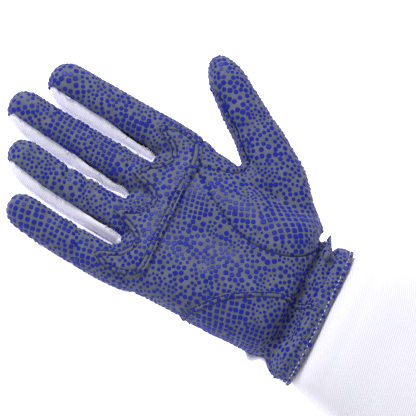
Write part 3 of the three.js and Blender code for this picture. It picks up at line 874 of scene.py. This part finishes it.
def patch_skin(value, edge_value, row_value, roll_line=None):
    """A patch as the part of the skin where a value is above zero, raised by its thickness."""
    patch = skin.copy()
    others = [v for v, keep in zip(patch.verts, value(spots_of(patch)) > -3 * MM) if not keep]
    bmesh.ops.delete(patch, geom=others, context="VERTS")
    long = [e for e in patch.edges if e.calc_length() > 0.6 * MM]
    bmesh.ops.subdivide_edges(patch, edges=long, cuts=1, use_grid_fill=True)
    cut_along(patch, value)
    middles = np.array([face.calc_center_median()[:] for face in patch.faces])
    bmesh.ops.delete(patch, geom=[f for f, v in zip(patch.faces[:], value(middles)) if v < 0], context="FACES")
    bmesh.ops.dissolve_degenerate(patch, dist=1e-5, edges=patch.edges)
    smooth(patch, [v for v in patch.verts if not v.is_boundary], 3)
    places, outward = spots_of(patch), normals_of(patch)
    far = edge_value(places)
    rise = PATCH_THICKNESS * (0.3 + 0.7 * step(far, 0, 0.9 * MM))
    from_rows = row_value(places)
    for row in STITCH_ROWS:
        rise -= ROW_GROOVE * hill(from_rows, row, 0.45 * MM)
    rise += ROW_SWELL * hill(from_rows, sum(STITCH_ROWS) / 2, 0.8 * MM)
    if roll_line is not None:
        rise += ROLL_HEIGHT * hill(distance_to(roll_line, places), ROLL_INSET, 0.9 * MM)
    places += outward * rise[:, None]
    move_to(patch, places)
    to_frame(patch)
    return patch


def knuckle_edge(spots):
    return inside_outline(spots, knuckle_outline)


def knuckle_rows(spots):
    return inside_outline(spots, knuckle_stitch_line)


def heel_edge(spots):
    return inside_outline(spots, heel_outline)


def knuckle_value(spots):
    return np.minimum(knuckle_edge(spots), side_value(spots) - 1.2 * MM)


def heel_value(spots):
    return np.minimum(np.minimum(heel_edge(spots), side_value(spots) - 0.8 * MM), hem_value(spots) - 2.9 * MM)


for name, patch in [
    ("knuckle_patch", patch_skin(knuckle_value, knuckle_edge, knuckle_rows, knuckle_roll)),
    ("heel_patch", patch_skin(heel_value, heel_edge, heel_edge)),
]:
    covers[name] = patch.copy()
    piece = make_wall(new_object(name + "_leather", patch), PATCH_WALL)
    piece.data.materials.append(suede)
    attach(piece, "root")
    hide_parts(name)

# Grip dots: blue silicone, printed on the suede before it is sewn. The pads are large and squarish in some places,
# small and round in others, partly in rows that bend, and stand about a quarter of a millimetre proud.
DOT_HEIGHT = 0.26 * MM
DOT_SIDES = 12
# Places tried for a dot in each square metre.
DOT_TRIES = 5e6
DOT_ZONES = [
    # x, y, reach, spacing (millimetres) and, where the dots are in rows, the turn of the rows (degrees)
    (45, 197, 9, 4.1), (39, 177, 8, 2.7), (47, 168, 8, 3.3), (40, 148, 10, 3.4, 4),
    (15, 210, 8, 4.0), (19, 197, 6, 3.1), (19, 177, 13, 3.1, 2), (17, 158, 10, 2.9, 2),
    (-11, 186, 14, 2.9), (-9, 160, 8, 3.7), (-11, 141, 8, 2.8), (-40, 172, 13, 3.9, 12),
    (-37, 154, 9, 3.1, 4), (-42, 138, 9, 3.4, 4), (22, 119, 11, 3.7), (-6, 112, 8, 3.5),
    (-33, 114, 9, 3.1), (14, 96, 10, 2.8, 12), (-8, 90, 11, 3.9), (-40, 86, 9, 2.8),
    (-6, 70, 9, 3.4), (-7, 52, 10, 3.9), (84, 112, 13, 4.0), (83, 86, 5, 2.6), (68, 76, 9, 3.9),
    (56, 66, 6, 2.6), (31, 86, 8, 3.7), (22, 69, 8, 3.4, 25), (34, 44, 15, 3.8, 38),
    (-33, 50, 15, 3.4, 14), (-38, 32, 9, 2.8, 8), (-20, 20, 9, 3.6),
]
draw = np.random.default_rng(7)


def sprinkle(cover):
    """Places all over a panel, five to each square millimetre, with the way that its surface faces at each."""
    made = bpy.data.meshes.new("sprinkled")
    cover.to_mesh(made)
    made.calc_loop_triangles()
    points = np.empty(3 * len(made.vertices))
    made.vertices.foreach_get("co", points)
    corners = points.reshape(-1, 3)[np.array([t.vertices[:] for t in made.loop_triangles])]
    bpy.data.meshes.remove(made)
    ways = np.cross(corners[:, 1] - corners[:, 0], corners[:, 2] - corners[:, 0])
    areas = np.linalg.norm(ways, axis=1) / 2
    picked = draw.choice(len(areas), int(areas.sum() * DOT_TRIES), p=areas / areas.sum())
    a, b = draw.random((2, len(picked), 1))
    a, b = np.where(a + b > 1, 1 - a, a), np.where(a + b > 1, 1 - b, b)
    base = corners[picked]
    spots = base[:, 0] + a * (base[:, 1] - base[:, 0]) + b * (base[:, 2] - base[:, 0])
    return spots, ways[picked] / (2 * np.maximum(areas[picked], 1e-12))[:, None]


def dot_form(squareness):
    """One pad of unit size: its outline between a circle, 2, and a square, above it; its foot is below z = 0."""
    dot = bmesh.new()
    ring = bmesh.ops.create_circle(dot, cap_ends=True, segments=DOT_SIDES, radius=1)["verts"]
    for vert in ring:
        turn = math.atan2(vert.co.y, vert.co.x) + math.pi / DOT_SIDES
        reach = 0.93 * (abs(math.cos(turn)) ** squareness + abs(math.sin(turn)) ** squareness) ** (-1 / squareness)
        vert.co = (reach * math.cos(turn), reach * math.sin(turn), -0.8)
    raised = bmesh.ops.extrude_face_region(dot, geom=dot.faces[:])["geom"]
    bmesh.ops.translate(dot, verts=[v for v in raised if isinstance(v, bmesh.types.BMVert)], vec=(0, 0, 1.35))
    top = [f for f in raised if isinstance(f, bmesh.types.BMFace)]
    bmesh.ops.inset_region(dot, faces=top, thickness=0.2, depth=0.4)
    for edge in top[0].edges:
        edge.smooth = False
    bmesh.ops.recalc_face_normals(dot, faces=dot.faces)
    mesh = bpy.data.meshes.new("dot")
    dot.to_mesh(mesh)
    dot.free()
    return mesh


DOT_FORMS = [dot_form(squareness) for squareness in (2.2, 3.4, 4.6)]


def dot_field(spots):
    """The spacing wanted at each spot, how far its zone is in rows, and the number of that zone."""
    cloud = np.array([noise.noise(Vector(spot) / (8.5 * MM)) for spot in spots])
    spacing = (3.2 + 0.85 * np.tanh(3 * cloud)) * MM
    rows, zone = np.zeros(len(spots)), np.full(len(spots), -1)
    for number, (x, y, reach, wanted, *turn) in enumerate(DOT_ZONES):
        away = np.hypot(spots[:, 0] - x * MM, spots[:, 1] - y * MM) / (reach * MM)
        weight = np.exp(-(away ** 4))
        spacing += weight * (wanted * MM * (1 + 0.08 * cloud) - spacing)
        if turn:
            zone[weight > 0.3] = number
            rows = np.maximum(rows, weight)
    return spacing, rows, zone


def laid_flat(spots, facing, middle, out, along):
    """Where spots lie on a curved surface, measured over it from its middle: along a direction and across it."""
    across = np.cross(out, along)
    chord = spots - middle
    flat = np.column_stack([chord @ along, chord @ across])
    bend = np.arccos(np.clip(facing @ out, -1, 1)) / 2
    longer = np.linalg.norm(chord, axis=1) * bend / np.maximum(np.sin(bend), 1e-6)
    return flat * (np.where(bend < 1e-3, 1, longer / np.maximum(np.linalg.norm(flat, axis=1), 1e-9)))[:, None]


def spread_dots(cover, covered_by):
    """Where the dots of a panel go, with the surface's direction, the dots' own, their sizes and their forms."""
    spots, facing = sprinkle(cover)
    edge = open_edge(cover, (0, 0.33, 0.67))
    far = np.array([edge.find(spot)[2] for spot in spots])
    free = far > 0.75 * MM
    for value in covered_by:
        free &= value(spots - HEM) < -0.5 * MM
    spots, facing, far = spots[free], facing[free], far[free]
    local = spots - HEM
    spacing, rows, zone = dot_field(local)
    rank = draw.random(len(spots)) + 1
    way = np.cross(facing, draw.normal(0, 1, (len(spots), 3)))
    for number in set(zone) - {-1}:
        x, y, _, wanted, turn = DOT_ZONES[number]
        here = np.flatnonzero(zone == number)
        middle = here[np.argmin(np.hypot(*(local[here, :2] - np.array([x, y]) * MM).T))]
        out = facing[middle]
        along = np.array([math.cos(math.radians(turn)), math.sin(math.radians(turn)), 0])
        along -= (along @ out) * out
        along /= np.linalg.norm(along)
        flat = laid_flat(spots[here], facing[here], spots[middle], out, along)
        bend = np.array([[noise.noise((a / (16 * MM), b / (16 * MM), k)) for k in (1.5, 9.5)] for a, b in flat])
        cells = (flat + 1.2 * MM * bend) / (wanted * MM)
        miss = np.hypot(*(cells - np.round(cells)).T)
        rank[here] = np.where(miss < 0.22, miss, rank[here])
        way[here] = along + 0.12 * draw.normal(0, 1, (len(here), 3))
    alive = np.ones(len(spots), bool)
    kept = []
    for i in np.argsort(rank):
        if alive[i]:
            kept.append(i)
            alive &= ((spots - spots[i]) ** 2).sum(1) > (0.4 * (spacing + spacing[i])) ** 2
    kept = np.array(kept)
    share = np.clip((spacing[kept] / MM - 2.6) / 1.5, 0, 1)
    size = spacing[kept] * (0.65 + 0.12 * share + 0.07 * rows[kept]) * draw.normal(1, 0.08, len(kept))
    size = np.minimum(size, 2 * far[kept] + 0.5 * MM)
    form = np.where(rows[kept] > 0.4, 2, np.where(size > 1.7 * MM, 1, 0))
    return spots[kept], facing[kept], way[kept], size, form


# Silicone: smooth and softly shining, so the pads show small pale gleams and otherwise stay deep blue.
silicone, _ = new_finish("blue_silicone", "#1c2396", {
    "Roughness": 0.4,
    "IOR": 1.41,
    "Specular IOR Level": 0.24,
})

for name, covered_by in [
    ("palm", (knuckle_edge, heel_edge)),
    ("thumb_front", (knuckle_edge,)),
    ("thumb_gusset", (knuckle_edge,)),
    ("knuckle_patch", ()),
    ("heel_patch", ()),
]:
    dots = bmesh.new()
    for spot, out, way, size, form in zip(*spread_dots(covers[name], covered_by)):
        z = Vector(out)
        y = z.cross(Vector(way)).normalized()
        x = y.cross(z)
        spin = Matrix((x * size / 2, y * size / 2, z * DOT_HEIGHT)).transposed()
        one = DOT_FORMS[form].copy()
        one.transform(Matrix.Translation(spot) @ spin.to_4x4())
        dots.from_mesh(one)
        bpy.data.meshes.remove(one)
    piece = new_object(name + "_dots", dots)
    piece.data.materials.append(silicone)
    piece.data.shade_smooth()
    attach(piece, "root")
for form in DOT_FORMS:
    bpy.data.meshes.remove(form)

# Stitches: polyester thread. Navy rows hold the patches, a white row runs along the folded hem, and short white
# stitches bind the ends of the fourchettes at the webs. Navy thread sunk close together in the seams between the
# leather panels
# is partly painted shade: it lays down the dark line that the shade in each seam's groove makes.
STITCH_PITCH = 2.9 * MM
WEB_PITCH = 0.9 * MM
SEAM_PITCH = 1.1 * MM
# How far a stitch's middle lies over the surface, as a share of its thickness.
STITCH_RISE = 0.2
STITCH_SIZES = {
    # length, thickness
    "patch": (2.6 * MM, 0.95 * MM),
    "hem": (1.8 * MM, 0.52 * MM),
    "web": (2.2 * MM, 0.45 * MM),
    "seam": (1.9 * MM, 0.62 * MM),
}


def offset_row(line, value, depth, closed):
    """A line drawn in by a depth towards where a value grows, without the loops at its corners."""
    line = np.array(line)
    if closed:
        line = np.vstack([line, line[:1]])
    count = max(2, int(np.linalg.norm(np.diff(line, axis=0), axis=1).sum() / (0.3 * MM)))
    length = np.concatenate([[0], np.cumsum(np.linalg.norm(np.diff(line, axis=0), axis=1))])
    at = np.linspace(0, length[-1], count)
    line = np.column_stack([np.interp(at, length, line[:, k]) for k in (0, 1)])
    way = np.gradient(line, axis=0)
    side = np.column_stack([-way[:, 1], way[:, 0]]) / np.linalg.norm(way, axis=1)[:, None]

    def depths(row):
        return value(np.column_stack([row, row[:, 0] * 0]))

    best = max((line + sign * depth * side for sign in (1, -1)), key=lambda row: depths(row).mean())
    return best[depths(best) > depth - 0.06 * MM]


def laid_on(cover, row):
    """A row of places seen from above, dropped onto a panel."""
    tree = BVHTree.FromBMesh(cover)
    found = [tree.ray_cast(Vector((x, y, 0)) + Vector(HEM) + Vector((0, 0, 0.3)), (0, 0, -1)) for x, y in row]
    return [(hit[0], hit[1]) for hit in found if hit[0] is not None]


def stitches_along(run):
    """Where stitches go, with their directions, at an even pitch along a run of places, skipping its jumps."""
    walked = 0.0
    for (a, out), (b, _) in zip(run[:-1], run[1:]):
        gap = (b - a).length
        if gap > 3 * MM:
            walked = 0.0
            continue
        walked += gap
        if walked >= STITCH_PITCH:
            walked -= STITCH_PITCH
            yield b, (b - a).normalized(), out


def sew(bm, spot, way, out, kind):
    """One stitch: a short thick thread, its middle proud and its ends in the leather."""
    length, thick = STITCH_SIZES[kind]
    side = out.cross(way).normalized()
    out = way.cross(side)
    shape = Matrix((way * length / 2, side * thick / 2, out * thick / 2)).transposed().to_4x4()
    move = Matrix.Translation(spot + out * thick * STITCH_RISE)
    matrix = move @ shape @ Matrix.Rotation(math.pi / 2, 4, "Y")
    bmesh.ops.create_uvsphere(bm, u_segments=6, v_segments=6, radius=1, matrix=matrix)


# Thread: smooth twisted fibre, so each stitch has a faint shine along its back.
navy, _ = new_finish("navy_polyester_thread", "#181c5a", {"Roughness": 0.6})
white, _ = new_finish("white_polyester_thread", "#e9e9f4", {"Roughness": 0.6})

threads = bmesh.new()
for name, line, value, closed in [
    ("knuckle_patch", knuckle_stitch_line, knuckle_rows, True),
    ("heel_patch", heel_line, heel_edge, False),
]:
    for depth in STITCH_ROWS:
        run = laid_on(covers[name], offset_row(line, value, depth, closed))
        for spot, way, out in stitches_along(run):
            sew(threads, spot, way, out, "patch")
sewn = {"patch_stitches": threads}

threads = bmesh.new()
around = BVHTree.FromBMesh(covers["palm"])
run = []
for turn in np.linspace(0, math.pi, 900):
    way = Vector((math.cos(turn), HEM_SLANT * math.cos(turn), math.sin(turn)))
    start = Vector(HEM) + Vector((0, HEM_FOLD - HEM_REACH, 0.4 * HAND_THICKNESS))
    hit = around.ray_cast(start + way * 0.2, -way)
    if hit[0] is not None:
        run.append((hit[0], hit[1]))
for spot, way, out in stitches_along(run):
    sew(threads, spot, way, out, "hem")
sewn["hem_stitches"] = threads

threads = bmesh.new()
for i, web_name in enumerate(WEB_NAMES):
    cover = covers["fourchette_" + web_name]
    cover.normal_update()
    end = HEM[1] + finger_web(i)[0][1] + WEB_DEPTH
    walked = 0.0
    for edge in [e for e in cover.edges if e.is_boundary]:
        middle = (edge.verts[0].co + edge.verts[1].co) / 2
        if middle.y > end + 9 * MM or edge.link_faces[0].normal.z < -0.5:
            continue
        walked += edge.calc_length()
        if walked < WEB_PITCH:
            continue
        walked = 0.0
        out = edge.link_faces[0].normal
        way = out.cross(edge.verts[1].co - edge.verts[0].co).normalized()
        way = (way + 0.5 * Vector(draw.normal(0, 1, 3))).normalized()
        sew(threads, middle + out * 0.3 * MM, way, out, "web")
sewn["web_stitches"] = threads

# Seam thread: navy stitches that overlap along the bottom of each leather seam. They are partly thread and partly
# painted shade, and they draw the groove's dark line.
threads = bmesh.new()
stitched = []
deep = SEAM_SINK - 0.1 * MM
for a, b, out in leather_seam:
    middle = (a + b) / 2
    if (b - a).length > 0.1 * MM and all((middle - other).length > SEAM_PITCH for other in stitched):
        stitched.append(middle)
        sew(threads, middle + Vector(HEM) - out * deep, (b - a).normalized(), out, "seam")
sewn["seam_stitches"] = threads

for name, thread, slot in [
    ("patch_stitches", navy, "palm_leather"),
    ("hem_stitches", white, "palm_leather"),
    ("web_stitches", white, "fork_cloth"),
    ("seam_stitches", navy, "palm_leather"),
]:
    piece = new_object(name, sewn[name])
    piece.data.materials.append(thread)
    piece.data.shade_smooth()
    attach(piece, "root")

# Cuff: long, of white cotton twill, sewn inside the hem and widening towards the elbow. It is soft, so it has gone a
# little flat and wavy, and its open end is turned in, which shows as a roll with a groove along the row that holds it.
CUFF_LENGTH = 152 * MM
CUFF_WIDTH = 132 * MM
CUFF_HEIGHT = 68 * MM
CUFF_WALL = 1.6 * MM
CUFF_SAG = 1.3 * MM
# Where the row that holds the turned-in end lies, as a share of the length, and the metres of cloth round and along.
CUFF_ROW = 0.08
CUFF_CLOTH = (0.3, 0.16)
CUFF_SECTIONS = [
    # along, width, height
    (-0.05, 0.555, 0.48),
    (0.0, 0.62, 0.545),
    (0.04, 0.67, 0.64),
    (0.12, 0.73, 0.71),
    (0.28, 0.81, 0.78),
    (0.55, 0.91, 0.89),
    (0.8, 0.97, 0.96),
    (1.0, 1.0, 1.0),
]


def cuff_skin(turn, share):
    along = 1 - share * (1 - CUFF_SECTIONS[0][0])
    wide, high = (flowing(CUFF_SECTIONS, column, along) for column in (1, 2))
    across, up = rounded(turn, FINGER_SQUARENESS)
    x = across * wide * CUFF_WIDTH / 2
    y = -along * CUFF_LENGTH + HEM_SLANT * x
    z = (high * CUFF_HEIGHT - REST_DEPTH) / 2 + up * high * (CUFF_HEIGHT + REST_DEPTH) / 2
    return np.stack([x, y, np.maximum(z, np.where(along < 0.02, 2.2 * MM, 0))], 1)


cuff = bmesh.new()
grid = bmesh.ops.create_grid(cuff, x_segments=150, y_segments=150, size=0.5, calc_uvs=True)["verts"]
spots = np.array([vert.co[:2] for vert in grid]) + 0.5
weave = cuff.loops.layers.uv.new("weave")
place_of = dict(zip(grid, spots))
for face in cuff.faces:
    for loop in face.loops:
        share_around, share_along = place_of[loop.vert]
        loop[weave].uv = (share_around * CUFF_CLOTH[0], share_along * CUFF_CLOTH[1])
laid = cuff_skin(spots[:, 0], spots[:, 1])
sag = np.array([noise.noise((x * 22, y * 16, z * 22)) for x, y, z in laid])
across, up = rounded(spots[:, 0], 2.0)
turned_in = HEM_ROLL * (spots[:, 1] < CUFF_ROW - 0.005) - HEM_GROOVE * hill(spots[:, 1], CUFF_ROW, 0.004)
swell = -CUFF_SAG * np.abs(sag) * np.clip(spots[:, 1], 0, 0.8) + turned_in
laid += np.column_stack([across, 0 * up, up]) * (swell - HEM_ROLL)[:, None]
laid[:, 2] = np.maximum(laid[:, 2], 0)
for vert, spot in zip(grid, laid):
    vert.co = spot
bmesh.ops.remove_doubles(cuff, verts=cuff.verts, dist=1e-6)
bmesh.ops.recalc_face_normals(cuff, faces=cuff.faces)
to_frame(cuff)
cuff = make_wall(new_object("cuff_twill", cuff), CUFF_WALL)

# Cotton twill: matt, with fine ribs a millimetre apart that run slantwise round the cuff.
twill, twill_shader = new_finish("white_cotton_twill", "#eeedf8", {"Roughness": 0.92, "Specular IOR Level": 0.25})
cloth = add_node(twill, "ShaderNodeUVMap", uv_map="weave").outputs["UV"]
turned = add_node(twill, "ShaderNodeMapping", {"Vector": cloth}, Rotation=(0, 0, math.radians(12)))
rib(twill, twill_shader, turned.outputs["Vector"], 1.15 * MM, 0.4, 0.14 * MM)
cuff.data.materials.append(twill)
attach(cuff, "root")
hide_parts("cuff")

# Light, floor and camera: a white table under broad soft light, seen as in the photograph, from above and a little
# from the little finger's side.
floor = bmesh.new()
bmesh.ops.create_grid(floor, x_segments=1, y_segments=1, size=3.0)
floor = new_object("floor", floor)
# Paper: matt and lit so brightly that it shows no edge and hardly a shadow.
paper, _ = new_finish("white_paper", "#ffffff", {
    "Roughness": 0.95,
    "Specular IOR Level": 0.1,
    "Emission Color": linear("#ffffff"),
    "Emission Strength": 0.6,
})
floor.data.materials.append(paper)

world = bpy.data.worlds.new("studio")
world.use_nodes = True
background = world.node_tree.nodes["Background"]
background.inputs["Color"].default_value = linear("#fdfdff")
background.inputs["Strength"].default_value = 0.45
bpy.context.scene.world = world

for name, spot, size, power in [
    # name, place, width (metres), power (watts)
    ("key", (0.7, 0.85, 1.1), 0.5, 18.5),
    ("fill", (-1.1, 0.3, 0.7), 1.0, 3),
]:
    lamp = bpy.data.lights.new(name, "AREA")
    lamp.size = size
    lamp.energy = power
    holder = place(name, lamp)
    holder.location = spot
    holder.rotation_euler = Vector(spot).to_track_quat("Z", "Y").to_euler()
bpy.context.scene.view_settings.view_transform = "Standard"

ROLL = math.radians(31)
TILT = math.radians(22)
CAMERA_DISTANCE = 1.1
SENSOR_WIDTH = 36
# 0.58 mm for each of the photograph's 416 pixels.
SPAN_OF_VIEW = 0.58 * MM * 416
TARGET = Vector((22.353 * MM, 87.174 * MM, 20.0 * MM)) + Vector(HEM)
to_camera = Vector((-math.sin(TILT), 0, math.cos(TILT)))
level = Vector((math.cos(TILT), 0, math.sin(TILT)))
right = math.sin(ROLL) * level - math.cos(ROLL) * Vector((0, 1, 0))
upward = to_camera.cross(right)
lens = bpy.data.cameras.new("camera")
lens.sensor_width = SENSOR_WIDTH
lens.lens = SENSOR_WIDTH * CAMERA_DISTANCE / SPAN_OF_VIEW
camera = place("camera", lens)
axes = Matrix((right, upward, to_camera)).transposed().to_4x4()
camera.matrix_world = Matrix.Translation(TARGET + CAMERA_DISTANCE * to_camera) @ axes
bpy.context.scene.camera = camera
